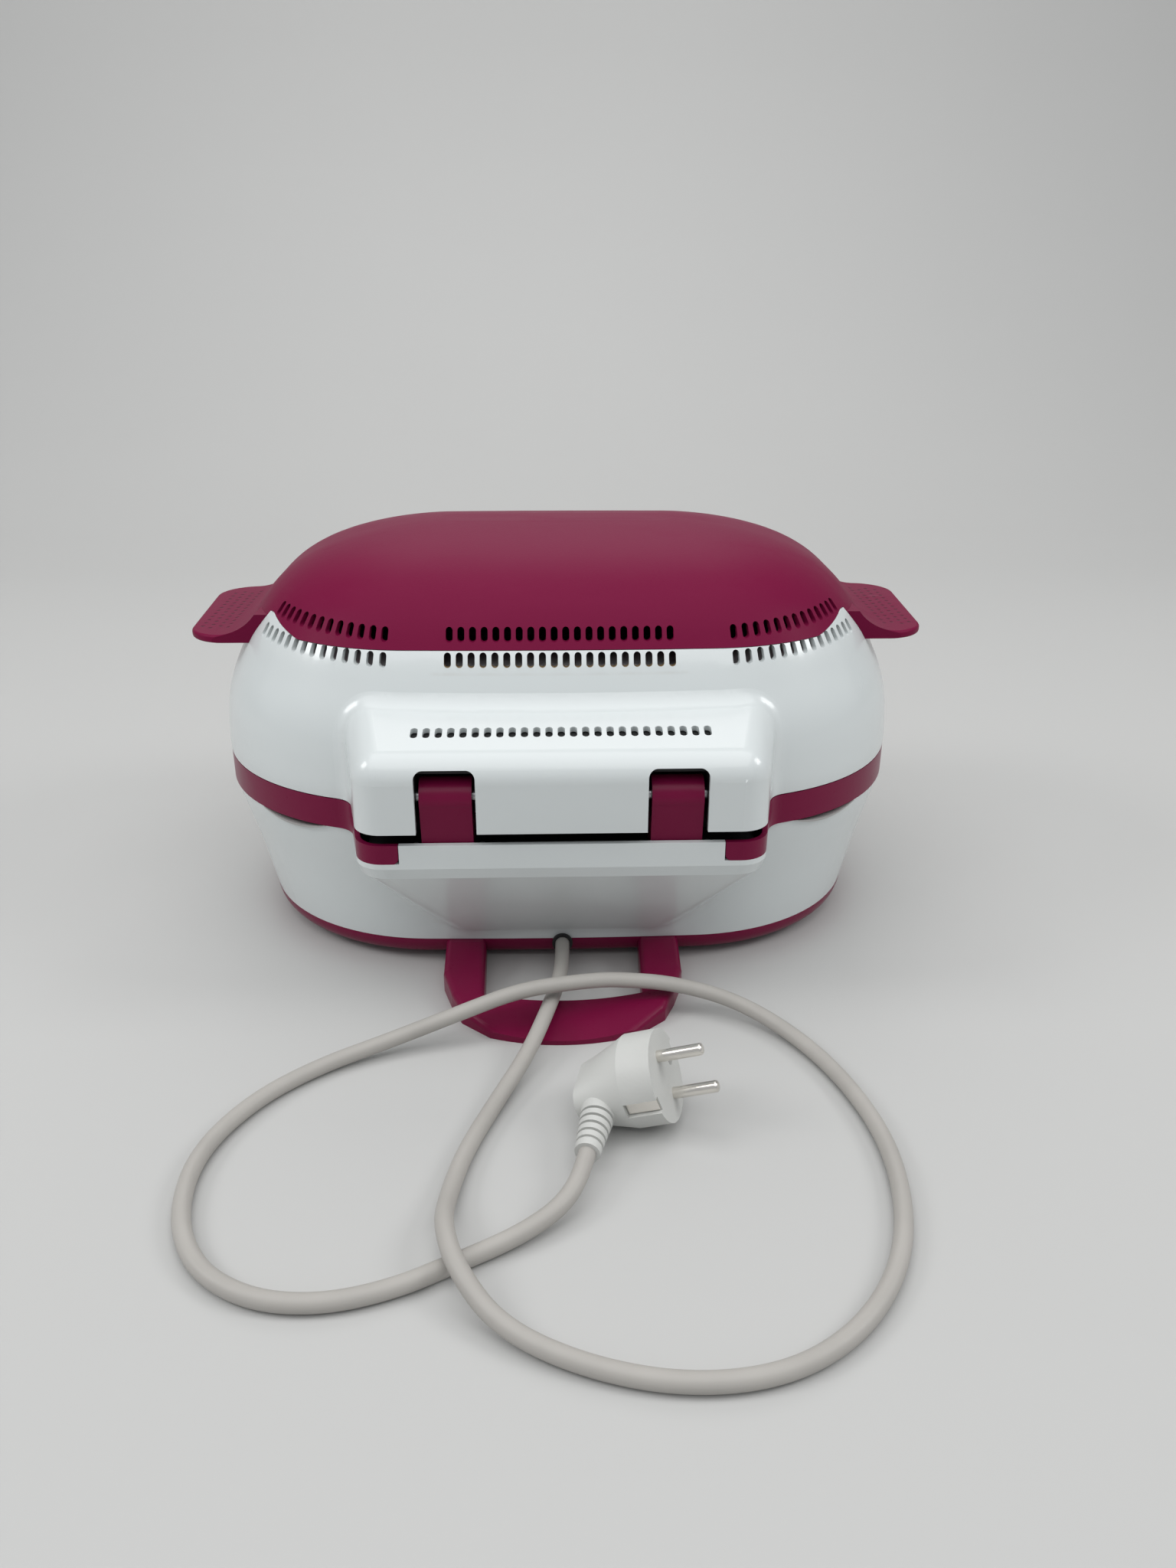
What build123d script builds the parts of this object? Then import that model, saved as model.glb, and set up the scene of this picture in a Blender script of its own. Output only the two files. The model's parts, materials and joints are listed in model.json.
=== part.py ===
from build123d import *
import math
import os

# Electric cake maker: a white bowl shaped base with a magenta rim band, tray and rear loop,
# and a white lid with a magenta cover and two grip ears, hinged at the rear on two arms.
# Millimetres. Z up from the table, the hinge side is +Y, the control panel side is -Y,
# and the origin is under the middle of the whole object without its cord.

os.makedirs("parts", exist_ok=True)

# Overall sizes of the body
body_width = 344.0
body_depth = 245.0
loop_reach = 56.0
plan_corner = 101.0
side_bow = 1.5
end_bow = 7.5
shell_wall = 2.6
sheet_wall = 1.0
flat_gap = 0.3
thin_gap = 0.1

body_y = -loop_reach / 2
rear_y = body_y + body_depth / 2
front_y = body_y - body_depth / 2

# Heights of the stack above the table
foot_height = 4.0
tray_height = 10.0
housing_height = 65.0
band_height = 14.5
lid_seam = 0.5
dome_height = 107.6

tray_z = foot_height
housing_z = tray_z + tray_height
band_z = housing_z + housing_height
band_top_z = band_z + band_height
lid_z = band_top_z + lid_seam

# How far the walls stand inside the rim, as share of a wall's height and inset
bowl_profile = [(0.0, 14.0), (0.12, 12.4), (0.32, 9.8), (0.55, 6.4), (0.78, 3.2), (1.0, 0.5)]
tray_profile = [(0.0, 20.3), (0.12, 18.0), (0.4, 15.6), (1.0, 14.0)]
dome_profile = [
    (0.0, 0.0), (0.093, 0.0), (0.186, 0.8), (0.279, 2.5), (0.372, 5.8), (0.465, 10.3),
    (0.567, 15.3), (0.632, 19.5), (0.697, 24.2), (0.762, 30.6), (0.827, 39.8),
    (0.883, 51.5), (0.929, 66.0), (0.967, 84.0), (0.99, 100.0), (1.0, 112.0),
]

# Rear hump of the lid that houses the hinge, its top falling to the rear
hump_width = 178.0
hump_splay = 12.0
hump_reach = 34.0
hump_height = 42.0
hump_fall = 15.0
hump_corner = 13.0
hump_round = 13.0
hump_blend = 12.0
hump_root = 30.0
hump_drop = 6.0
hump_set = 2.0
hump_rear_y = rear_y + hump_reach
hump_middle_y = (rear_y + hump_rear_y) / 2
hump_low_z = lid_z - hump_drop
saddle_rear_y = hump_rear_y - hump_set

# Hinge
hinge_spread = 50.1
hinge_height = 14.0
arm_width = 22.6
arm_radius = 8.6
arm_recess = 2.0
arm_lean = 3.1
arm_flange_width = 36.0
arm_flange = 3.0
pin_radius = 2.5
pin_length = 44.0
pin_clearance = 0.05
pin_fit = 0.02
pocket_gap = 1.6
window_width = 26.2
window_height = 29.2
window_corner = 4.0
bracket_gap = 0.4
bracket_lift = 2.0
bracket_wall = 4.0
hinge_y = hump_rear_y - arm_recess - arm_radius
hinge_z = lid_z + hinge_height

# Rear of the lower housing under the hump
wedge_blend = 9.0
strip_width = 142.8
tab_corner = 3.0
plate_drop = 3.5
plate_thickness = 2.5
plate_ledge = 3.0
ledge_depth = 3.2
plate_z = hump_low_z - plate_drop - plate_thickness
shield_wall_y = hinge_y - 15.9
shield_wall_height = 7.5

# Stages of the overhang: rise over the housing's foot, set of its sides and of its rear, corner
wedge_stages = [(0.0, 44.6, 49.0, 20.0), (57.0, 1.8, 1.9, 13.5), (62.5, 0.0, 0.0, 13.0)]

# Border between the white lid shell and the magenta cover
border_rise = 66.4
border_tip_rise = 73.0
border_side_rise = 55.5
border_tip_y = 57.0
border_side_y = 51.0

# Ears
ear_span = 379.0
ear_length = 98.0
ear_taper = 6.0
ear_flare = 7.0
ear_thickness = 4.0
ear_flat = 19.5
ear_reach = 41.5
ear_rise = 11.0
ear_corner = 20.0
ear_round = 1.4

# Vents
slot_width = 3.2
slot_pitch = 5.35
cover_slot_pitch = 5.27
hump_slots = 25
hump_slot_length = 7.4
hump_slot_set = 22.0
centre_slots = 20
white_slot_length = 6.3
cover_slot_length = 6.2
white_row_drop = 3.7
cover_row_rise = 6.4
white_corner_slots = 14
cover_corner_slots = 13
corner_first_angle = 83.5
white_last_angle = 35.0
cover_last_angle = 38.0
corner_row_climb = 3.0
corner_row_x = 69.5
corner_row_y = 11.9
corner_row_start = 60.0
corner_row_depth = 45.0

# Rim band
band_wall = 2.4

# Crescent vents under the band at the two rear corners
crescent_width = 40.0
crescent_height = 2.7
crescent_angle = 57.2
lip_height = 1.2
lip_proud = 0.8

# Rear loop
loop_width = 115.0
loop_bar_width = 66.8
loop_inner_width = 76.0
loop_bar = 25.0
loop_round = 3.0

# Feet and screws
foot_radius = 9.0
foot_x = 102.0
foot_y = 73.0
stem_radius = 2.5
screw_radius = 1.4
screw_head = 2.7
screw_head_height = 1.6
boss_radius = 4.2
pilot_gap = 0.05
base_screw_x = 118.0
base_screw_y = 62.0
lid_screw_x = 162.0
lid_screw_y = 30.0
boss_height = 18.0
rib_thickness = 2.0

# Baking well, cake tin and their heater
collar_set = 0.3
collar_wall = 2.2
collar_drop = 3.2
well_flange_drop = 2.2
well_flange_set = 3.2
well_mouth = 24.0
well_step_drop = 9.5
well_step = 9.0
well_taper = 5.0
well_floor_z = 48.0
tin_rim_set = 31.5
tin_wall_set = 35.2
tin_taper = 3.2
tin_depth = 23.0
element_radius = 3.25
element_gap = 0.08
element_height = 7.0
element_half_x = 102.0
element_half_y = 62.0
element_bend = 18.0
element_ends = 14.0
element_tail = 38.0
bush_wall = 1.05
bush_length = 10.0
clip_width = 10.0
clip_depth = 6.0
shield_drop = 7.0
shield_half_x = 115.0
shield_half_y = 68.0

# Lid liner and its heater
liner_flange_rise = 1.2
liner_flange_set = 3.0
liner_profile = [(0.0, 18.0), (0.55, 22.0), (0.79, 29.0), (0.92, 38.5), (1.0, 52.0)]
liner_height = 62.8
upper_element_drop = 20.0
upper_half_x = 95.0
upper_half_y = 55.0
upper_end_y = 10.0
upper_bend = 12.0
upper_tail = 32.0

# Control panel at the front
panel_width = 170.0
panel_height = 45.0
panel_corner = 12.0
panel_z = 48.5
panel_depth = 4.4
panel_lip = 4.0
lens_width = 46.0
lens_height = 18.0
lens_rise = 8.0
lens_depth = 1.6
lens_rim = 2.5
button_radius = 6.0
button_gap = 0.3
button_spread = 30.0
button_drop = 11.0
button_proud = 1.0
button_travel = 1.0
collar_radius = 7.6
collar_thickness = 1.5
switch_side = 6.0
switch_height = 3.0
board_set = 11.5
board_thickness = 1.6
board_width = 164.0
board_height = 38.0
post_radius = 3.2
post_x = 76.0
post_z = 15.0

# Power board on the tray floor
power_width = 60.0
power_depth = 40.0
power_x = 52.0
power_y = -60.0
standoff_height = 7.0

# Mains cord and its plug
cord_diameter = 6.9
cord_hole = 8.0
cord_z = 12.2
grommet_flange = 5.0
clamp_length = 10.0
clamp_seat = 1.9
clamp_toe = 1.8
cord_set = 20.0
plug_straight = 13.5
cord_route = [
    (0.0, 97.5, 12.2), (2.5, 121.0, 13.4), (8.0, 144.0, 12.5), (16.0, 167.0, 7.5),
    (29.0, 195.0, 3.6), (39.5, 224.0, 3.6), (44.0, 249.0, 4.6), (44.0, 270.0, 11.4),
    (38.0, 290.0, 11.4), (23.0, 309.0, 5.0), (-5.0, 324.0, 3.6), (-37.0, 331.5, 3.6),
    (-68.0, 328.0, 3.6), (-93.0, 313.0, 3.6), (-112.0, 289.0, 3.6), (-123.0, 259.0, 3.6),
    (-126.0, 221.0, 3.6), (-118.0, 183.0, 3.6), (-103.0, 151.0, 4.0), (-80.0, 129.0, 8.0),
    (-52.0, 124.0, 14.5), (-24.0, 129.0, 20.5), (-9.0, 133.5, 22.5), (19.0, 139.5, 22.5),
    (46.0, 146.0, 15.0), (77.0, 154.0, 6.5), (106.0, 168.0, 3.6), (129.0, 191.0, 3.6),
    (143.0, 222.0, 3.6), (141.0, 255.0, 3.6), (128.0, 280.0, 3.6), (107.0, 294.0, 3.6),
    (83.0, 297.0, 3.6), (59.0, 291.0, 3.6), (38.0, 279.5, 3.6), (25.5, 273.0, 3.8),
    (13.7, 266.3, 4.9), (2.7, 257.6, 6.6),
]
plug_centre = (-40.0, 203.1, 22.5)
plug_points = (-0.900, 0.250, 0.358)
plug_leads = (0.236, 0.968, -0.083)
plug_radius = 18.7
plug_disc = 14.0
plug_length = 35.0
plug_pin_radius = 2.4
plug_pin_length = 19.0
plug_pin_spread = 19.0
relief_set = 26.0
relief_length = 38.0
relief_radius = 8.2
relief_end_radius = 5.0
relief_grooves = 5
clip_slot_width = 6.5
clip_slot_depth = 2.6


def hump_half(y, inset=0.0):
    """Half the hump's width at y: its sides splay towards the body"""
    return hump_width / 2 - inset + (hump_rear_y - y) * math.tan(math.radians(hump_splay))


def hump_plan(inset, high_y, low_y=None):
    """Plan of the hump from inside the body to high_y, its corners still sharp"""
    low_y = rear_y - hump_root if low_y is None else low_y
    with BuildSketch() as plan:
        with BuildLine():
            Polyline(
                (-hump_half(low_y, inset), low_y), (hump_half(low_y, inset), low_y),
                (hump_half(high_y, inset), high_y), (-hump_half(high_y, inset), high_y), close=True,
            )
        make_face()
    return plan.sketch_local


def body_plan(height, inset, dome=False, hump=False):
    """Rounded plan of the body at a height, drawn inside the rim by inset"""
    half_x = body_width / 2 - inset
    half_y = body_depth / 2 - inset
    share = half_y / (body_depth / 2)
    corner_x = half_x - side_bow * share
    corner_y = half_y - end_bow * share
    corner = plan_corner * share if dome else min(plan_corner, 0.93 * corner_y)
    with BuildSketch(Plane.XY.offset(height)) as plan:
        with BuildLine():
            ThreePointArc((-corner_x, body_y - corner_y), (0, body_y - half_y), (corner_x, body_y - corner_y))
            ThreePointArc((corner_x, body_y - corner_y), (half_x, body_y), (corner_x, body_y + corner_y))
            ThreePointArc((corner_x, body_y + corner_y), (0, body_y + half_y), (-corner_x, body_y + corner_y))
            ThreePointArc((-corner_x, body_y + corner_y), (-half_x, body_y), (-corner_x, body_y - corner_y))
        make_face()
        fillet(plan.vertices(), radius=corner)
        if hump:
            add(hump_plan(inset, saddle_rear_y - inset))
            fillet(plan.vertices().group_by(Axis.Y)[-1], radius=hump_corner - inset)
            joins = plan.vertices().filter_by(
                lambda corner: corner.Y < rear_y and abs(abs(corner.X) - hump_half(corner.Y, inset)) < 0.01
            )
            fillet(joins, radius=hump_blend + inset)
    return plan.sketch


def profile_points(profile, low_z, height):
    """Heights and insets of a wall profile given as shares of its height"""
    return [(low_z + share * height, inset) for share, inset in profile]


def profile_inside(points, depth):
    """The same wall profile, moved into the body square to the wall"""
    moved = []
    for number, (height, inset) in enumerate(points):
        low_height, low_inset = points[max(number - 1, 0)]
        high_height, high_inset = points[min(number + 1, len(points) - 1)]
        run = math.hypot(high_height - low_height, high_inset - low_inset)
        rise = depth * (high_inset - low_inset) / run
        moved.append((height - rise, inset + depth * (high_height - low_height) / run))
    return moved


def body_form(points, dome=False):
    """Solid lofted through the body's plan at each height of a profile"""
    with BuildPart() as form:
        loft([body_plan(height, inset, dome) for height, inset in points])
    return form.part


def wall_layer(outer, inner):
    """Layer of the bowl's wall between two depths below its outer face"""
    with BuildPart() as layer:
        add(body_form(profile_inside(bowl_points, outer)))
        deep = profile_inside(bowl_points, inner)
        stages = [(housing_z - 1, deep[0][1])] + deep[1:-1] + [(band_z + 1, deep[-1][1])]
        add(body_form(stages), mode=Mode.SUBTRACT)
    return layer.part


def front_wall_y(x, height):
    """Place of the bowl's outer front face at an x and a height"""
    share = (height - housing_z) / housing_height
    for (low, low_inset), (high, high_inset) in zip(bowl_profile, bowl_profile[1:]):
        if low <= share <= high:
            inset = low_inset + (high_inset - low_inset) * (share - low) / (high - low)
    half_y = body_depth / 2 - inset
    bow = end_bow * half_y / (body_depth / 2)
    half_x = body_width / 2 - inset - side_bow
    bow_radius = (half_x ** 2 + bow ** 2) / (2 * bow)
    return body_y - half_y + bow_radius - math.sqrt(bow_radius ** 2 - x ** 2)


def front_prism(width, height, corner, x=0.0, z=0.0):
    """Round cornered bar through the front wall, placed from the panel's middle"""
    with BuildPart() as prism:
        with BuildSketch(Plane.XZ.offset(-body_y)):
            with Locations((x, panel_z + z)):
                RectangleRounded(width, height, corner)
        extrude(amount=body_depth)
    return prism.part


def hump_top(y, inset=0.0):
    """Height of the hump's sloping top, or of the same face moved in by inset"""
    slope = math.radians(hump_fall)
    return lid_z + hump_height - (y - rear_y) * math.tan(slope) - inset / math.cos(slope)


def hump_form(inset, low_z):
    """Solid of the lid's hump down to low_z, drawn inside its skin by inset"""
    low_y = rear_y - hump_root
    high_y = hump_rear_y - inset
    with BuildPart() as form:
        with BuildSketch(Plane.XY.offset(low_z)):
            add(hump_plan(inset, high_y))
        extrude(amount=2 * hump_height)
        with BuildSketch(Plane.YZ):
            with BuildLine():
                Polyline(
                    (low_y, low_z), (high_y, low_z), (high_y, hump_top(high_y, inset)),
                    (low_y, hump_top(low_y, inset)), close=True,
                )
            make_face()
        extrude(amount=hump_width, both=True, mode=Mode.INTERSECT)
        rounded = form.edges().filter_by(
            lambda edge: edge.center().Z > low_z + 0.1
            and edge.center().Y > low_y + 1
        )
        fillet(rounded, radius=hump_round - inset)
    return form.part


def wedge_form(inset, top_z):
    """Overhang of the lower housing that carries the hump, drawn inside its skin by inset"""
    front_y = rear_y - hump_root - 20
    stages = wedge_stages + [(top_z - housing_z,) + wedge_stages[-1][1:]]
    with BuildPart() as form:
        for rise, side_set, rear_set, corner in stages:
            depth = inset if rise else 1.5 * inset
            with BuildSketch(Plane.XY.offset(housing_z + rise)) as stage:
                add(hump_plan(side_set + depth, saddle_rear_y - rear_set - depth, front_y))
                fillet(stage.vertices().group_by(Axis.Y)[-1], radius=corner - inset)
        loft(ruled=True)
    return form.part


def tube(points, radius, bends):
    """Round bar swept along straight runs joined by tangent arcs"""
    with BuildPart() as bar:
        with BuildLine() as path:
            FilletPolyline(*points, radius=bends)
        with BuildSketch(Plane(origin=path.line @ 0, z_dir=path.line % 0)):
            Circle(radius)
        sweep()
    return bar.part, path.wires()[0].length


def save(piece, label):
    """Label a finished piece and write it out"""
    piece.part.label = label
    export_step(piece.part, f"parts/{label}.step")
    solids = piece.part.solids()
    print(label, len(solids), round(piece.part.volume / 1000, 2), all(s.is_valid for s in solids))


bowl_points = profile_points(bowl_profile, housing_z, housing_height)
tray_points = profile_points(tray_profile, tray_z, tray_height)
dome_points = profile_points(dome_profile, lid_z, dome_height)
upward = (Align.CENTER, Align.CENTER, Align.MIN)
clamp_seat_z = cord_z - cord_diameter / 2 - clamp_seat

# Whole lid as one form, before it is parted at the border
with BuildPart() as lid_form:
    add(body_form(dome_points, dome=True))
    add(hump_form(0, lid_z))
    hump_joint = lid_form.edges().filter_by(
        lambda edge: rear_y - 25 < edge.center().Y < rear_y + 2
        and abs(edge.center().X) < hump_width / 2 + 1
        and lid_z + 1 < edge.center().Z < lid_z + hump_height + 6
        and edge.geom_type != GeomType.LINE
    )
    fillet(hump_joint, radius=hump_blend)

dome_inside = profile_inside(dome_points, shell_wall)
dome_inside[0] = (lid_z - 1, dome_inside[0][1])
lid_core = body_form(dome_inside, dome=True)
lid_hump_core = hump_form(shell_wall, lid_z - 1)


# Side view of the border: level at the rear and front, a tip at each corner, low under the ears
def border_side(lift):
    """Region of the side view below the border, moved up by lift"""
    rear_line = lid_z + border_rise + lift
    tip_line = lid_z + border_tip_rise + lift
    side_line = lid_z + border_side_rise + lift
    reach = body_depth
    with BuildPart() as region:
        with BuildSketch(Plane.YZ.offset(-body_width)):
            with BuildLine():
                Polyline(
                    (body_y - reach, lid_z - 30), (body_y + reach, lid_z - 30), (body_y + reach, rear_line),
                    (body_y + border_tip_y + 26, rear_line), (body_y + border_tip_y + 2, tip_line),
                    (body_y + border_tip_y - 2, tip_line), (body_y + border_side_y, side_line),
                    (body_y - border_side_y, side_line), (body_y - border_tip_y + 2, tip_line),
                    (body_y - border_tip_y - 2, tip_line), (body_y - border_tip_y - 26, rear_line),
                    (body_y - reach, rear_line), close=True,
                )
            make_face()
        extrude(amount=2 * body_width)
    return region.part


def centre_row(rise, length, pitch):
    """Upright slots through the rear wall, in a level row"""
    place = Plane(origin=(0, rear_y - 55, lid_z + rise), x_dir=(-1, 0, 0), z_dir=(0, 1, 0))
    with BuildPart() as row:
        with BuildSketch(place):
            with GridLocations(pitch, 0, centre_slots, 1):
                SlotOverall(length, slot_width, rotation=90)
        extrude(amount=70)
    return row.part


def corner_rows(count, rise, length, last_angle):
    """Slots cut square to the two rear corners, in rows that climb towards the border's tip"""
    with BuildPart() as rows:
        for side in (-1, 1):
            for number in range(count):
                share = number / (count - 1)
                turn = math.radians(corner_first_angle + share * (last_angle - corner_first_angle))
                out = (side * math.cos(turn), math.sin(turn), 0)
                middle = (
                    side * corner_row_x + corner_row_start * out[0],
                    body_y + corner_row_y + corner_row_start * out[1],
                    lid_z + rise + share * corner_row_climb,
                )
                place = Plane(origin=middle, x_dir=(-out[1], out[0], 0), z_dir=out)
                with BuildSketch(place):
                    SlotOverall(length, slot_width, rotation=90)
                extrude(amount=corner_row_depth)
    return rows.part


lid_screw_places = [(x, body_y + y) for x in (-lid_screw_x, lid_screw_x) for y in (-lid_screw_y, lid_screw_y)]
liner_flange_z = lid_z + liner_flange_rise
lid_boss_z = liner_flange_z + sheet_wall

# Bosses inside the lid that take the liner's screws, each tied to the wall by a rib
with BuildPart() as lid_bosses:
    with Locations(*[(x, y, lid_boss_z) for x, y in lid_screw_places]):
        Cylinder(boss_radius, boss_height, align=upward)
    for x, y in lid_screw_places:
        with Locations((x + math.copysign(8, x), y, lid_boss_z)):
            Box(16, rib_thickness, boss_height, align=upward)
    add(body_form(dome_points, dome=True), mode=Mode.INTERSECT)
    with Locations(*[(x, y, lid_boss_z) for x, y in lid_screw_places]):
        Cylinder(screw_radius + pilot_gap, boss_height - 2, align=upward, mode=Mode.SUBTRACT)

# White lid shell with the hump, the hinge windows and its rows of vents
with BuildPart() as lid_shell:
    add(lid_form.part)
    add(lid_core, mode=Mode.SUBTRACT)
    add(lid_hump_core, mode=Mode.SUBTRACT)
    add(border_side(0), mode=Mode.INTERSECT)
    add(lid_bosses.part)
    with BuildSketch(Plane.XZ.offset(-hinge_y)) as windows:
        with Locations((-hinge_spread, lid_z), (hinge_spread, lid_z)):
            Rectangle(window_width, 2 * window_height)
        fillet(windows.vertices().group_by(Axis.Z)[-1], radius=window_corner)
    extrude(amount=-hump_reach, mode=Mode.SUBTRACT)
    slot_y = rear_y + hump_slot_set - 10
    slope = math.radians(hump_fall)
    slot_way = (0, math.sin(slope), math.cos(slope))
    with BuildSketch(Plane(origin=(0, slot_y, hump_top(slot_y)), x_dir=(1, 0, 0), z_dir=slot_way)):
        with GridLocations(slot_pitch, 0, hump_slots, 1):
            SlotOverall(hump_slot_length, slot_width, rotation=90)
    extrude(amount=8, both=True, mode=Mode.SUBTRACT)
    add(centre_row(border_rise - white_row_drop, white_slot_length, slot_pitch), mode=Mode.SUBTRACT)
    white_row = (white_corner_slots, border_rise - white_row_drop, white_slot_length, white_last_angle)
    add(corner_rows(*white_row), mode=Mode.SUBTRACT)
save(lid_shell, "lid_shell")

# Magenta cover of the lid, with a grip ear on each side and its own rows of vents
ear_low_z = lid_z + border_side_rise + flat_gap
ear_top_z = ear_low_z + ear_thickness
ear_root_x = ear_span / 2 - ear_reach
with BuildPart() as ears:
    with BuildSketch(Plane.XZ.offset(-body_y)):
        for side in (-1, 1):
            with BuildLine():
                flat = Line((side * ear_span / 2, ear_top_z), (side * (ear_span / 2 - ear_flat), ear_top_z))
                rise = TangentArc(flat @ 1, (side * ear_root_x, ear_top_z + ear_rise), tangent=(-side, 0))
                Polyline(
                    rise @ 1, (side * (ear_root_x - 12), ear_top_z + ear_rise), (side * (ear_root_x - 12), ear_low_z),
                    (side * ear_span / 2, ear_low_z), flat @ 0,
                )
            make_face()
    extrude(amount=ear_length, both=True)
    with BuildSketch(Plane.XY.offset(ear_low_z)) as ear_plan:
        with BuildLine():
            ear_front_y = body_y - ear_length / 2
            ear_rear_y = body_y + ear_length / 2
            ear_rear_x = ear_span / 2 - ear_taper
            Polyline(
                (-ear_span / 2, ear_front_y), (-ear_root_x, ear_front_y - ear_flare),
                (ear_root_x, ear_front_y - ear_flare), (ear_span / 2, ear_front_y),
                (ear_rear_x, ear_rear_y), (ear_root_x, ear_rear_y + ear_flare),
                (-ear_root_x, ear_rear_y + ear_flare), (-ear_rear_x, ear_rear_y), close=True,
            )
        make_face()
        outer_corners = ear_plan.vertices().filter_by(lambda corner: abs(corner.X) > ear_rear_x - 1)
        fillet(outer_corners, radius=ear_corner)
    extrude(amount=ear_rise + ear_thickness, mode=Mode.INTERSECT)
    rims = ears.edges().filter_by(
        lambda edge: abs(edge.center().X) > ear_rear_x - ear_corner
        and (abs(edge.center().Z - ear_top_z) < 0.01 or abs(edge.center().Z - ear_low_z) < 0.01)
    )
    fillet(rims, radius=ear_round)

with BuildPart() as top_cover:
    add(lid_form.part)
    add(ears.part)
    add(lid_core, mode=Mode.SUBTRACT)
    add(border_side(flat_gap), mode=Mode.SUBTRACT)
    add(centre_row(border_rise + cover_row_rise, cover_slot_length, cover_slot_pitch), mode=Mode.SUBTRACT)
    cover_row = (cover_corner_slots, border_rise + cover_row_rise, cover_slot_length, cover_last_angle)
    add(corner_rows(*cover_row), mode=Mode.SUBTRACT)
save(top_cover, "top_cover")

# Magenta rim band that follows the housing's edge and the hump, its top lower round the hinge
with BuildPart() as rim_band:
    extrude(body_plan(band_z, 0, hump=True), amount=band_height)
    extrude(body_plan(band_z, band_wall, hump=True), amount=band_height, mode=Mode.SUBTRACT)
    with BuildSketch(Plane.YZ.offset(-hump_width)):
        with BuildLine():
            Polyline(
                (rear_y + 2, band_top_z), (rear_y + 22, hump_low_z), (hump_rear_y + 1, hump_low_z),
                (hump_rear_y + 1, band_top_z + 1), (rear_y + 2, band_top_z + 1), close=True,
            )
        make_face()
    extrude(amount=2 * hump_width, mode=Mode.SUBTRACT)
    tab_x = strip_width / 2 + flat_gap
    with BuildSketch(Plane.XZ.offset(-hump_middle_y)):
        with Locations((0, band_z)):
            Rectangle(2 * tab_x, 2 * band_height)
            Rectangle(2 * tab_x + 2 * tab_corner, 2 * tab_corner)
        with Locations((-tab_x - tab_corner, band_z + tab_corner), (tab_x + tab_corner, band_z + tab_corner)):
            Circle(tab_corner, mode=Mode.SUBTRACT)
    extrude(amount=-hump_reach, mode=Mode.SUBTRACT)
save(rim_band, "rim_band")


def crescent(side, drop):
    """Bar through a rear corner of the bowl: a crescent hanging from the band, deeper by drop"""
    turn = math.radians(crescent_angle)
    out = (side * math.cos(turn), math.sin(turn), 0)
    middle = (side * corner_row_x + 60 * out[0], body_y + corner_row_y + 60 * out[1], band_z)
    half = crescent_width / 2 + drop
    with BuildPart() as bar:
        with BuildSketch(Plane(origin=middle, x_dir=(-out[1], out[0], 0), z_dir=out)):
            with BuildLine():
                low = ThreePointArc((-half, 0), (0, -crescent_height - drop), (half, 0))
                Line(low @ 1, low @ 0)
            make_face()
        extrude(amount=60)
    return bar.part


# White lower housing: bowl wall, overhang under the hump, rear strip and inner ledges
base_screw_rows = (body_y - base_screw_y, body_y + base_screw_y)
base_screw_places = [(x, y) for x in (-base_screw_x, base_screw_x) for y in base_screw_rows]
with BuildPart() as housing_bosses:
    with Locations(*[(x, y, housing_z) for x, y in base_screw_places]):
        Cylinder(boss_radius, boss_height, align=upward)
    for x, y in base_screw_places:
        outward = math.degrees(math.atan2(y - body_y, x))
        with Locations(Location((x, y, housing_z), (0, 0, outward))):
            Box(2 * boss_radius + 26, rib_thickness, boss_height, align=(Align.MIN, Align.CENTER, Align.MIN))
    add(body_form(bowl_points), mode=Mode.INTERSECT)
    with Locations(*[(x, y, housing_z) for x, y in base_screw_places]):
        Cylinder(screw_radius + pilot_gap, boss_height - 2, align=upward, mode=Mode.SUBTRACT)

bowl_inside = profile_inside(bowl_points, shell_wall)
bowl_inside = [(housing_z - 1, bowl_inside[0][1])] + bowl_inside[1:-1] + [(band_z + 1, bowl_inside[-1][1])]
collar_top_z = band_top_z - well_flange_drop - sheet_wall
collar_low_z = band_z - collar_drop
collar_inset = band_wall + collar_set
with BuildPart() as collar:
    extrude(body_plan(collar_low_z, collar_inset), amount=collar_top_z - collar_low_z)
    extrude(
        body_plan(collar_low_z, collar_inset + collar_wall),
        amount=collar_top_z - collar_low_z, mode=Mode.SUBTRACT,
    )

with BuildPart() as lower_housing:
    add(body_form(bowl_points))
    add(wedge_form(0, band_z))
    wedge_joint = lower_housing.edges().filter_by(
        lambda edge: housing_z + 1 < edge.center().Z < band_z - 1
        and rear_y - 25 < edge.center().Y < rear_y + 2
        and abs(edge.center().X) < hump_width / 2 + 1
        and edge.geom_type != GeomType.LINE
    )
    fillet(wedge_joint, radius=wedge_blend)
    add(body_form(bowl_inside), mode=Mode.SUBTRACT)
    add(wedge_form(shell_wall, band_z + 1), mode=Mode.SUBTRACT)
    with Locations((0, saddle_rear_y - shell_wall / 2, band_z)):
        Box(strip_width, shell_wall, hump_low_z - band_z, align=upward)
    add(collar.part)
    with Locations((0, saddle_rear_y - shell_wall - ledge_depth / 2, plate_z - plate_ledge)):
        Box(62, ledge_depth, plate_ledge, align=upward)
    with Locations((0, rear_y - band_wall - collar_set + ledge_depth / 2 - 0.5, plate_z - plate_ledge)):
        Box(150, ledge_depth + 1, plate_ledge, align=upward)
    add(housing_bosses.part)
    add(front_prism(panel_width + 2 * flat_gap, panel_height + 2 * flat_gap, panel_corner + flat_gap), mode=Mode.SUBTRACT)
    for side in (-1, 1):
        add(crescent(side, lip_height + thin_gap), mode=Mode.SUBTRACT)
    with BuildSketch(Plane.XZ.offset(-body_y)):
        with Locations((0, cord_z)):
            Circle(cord_hole / 2)
    extrude(amount=-body_depth, mode=Mode.SUBTRACT)
save(lower_housing, "lower_housing")

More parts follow.
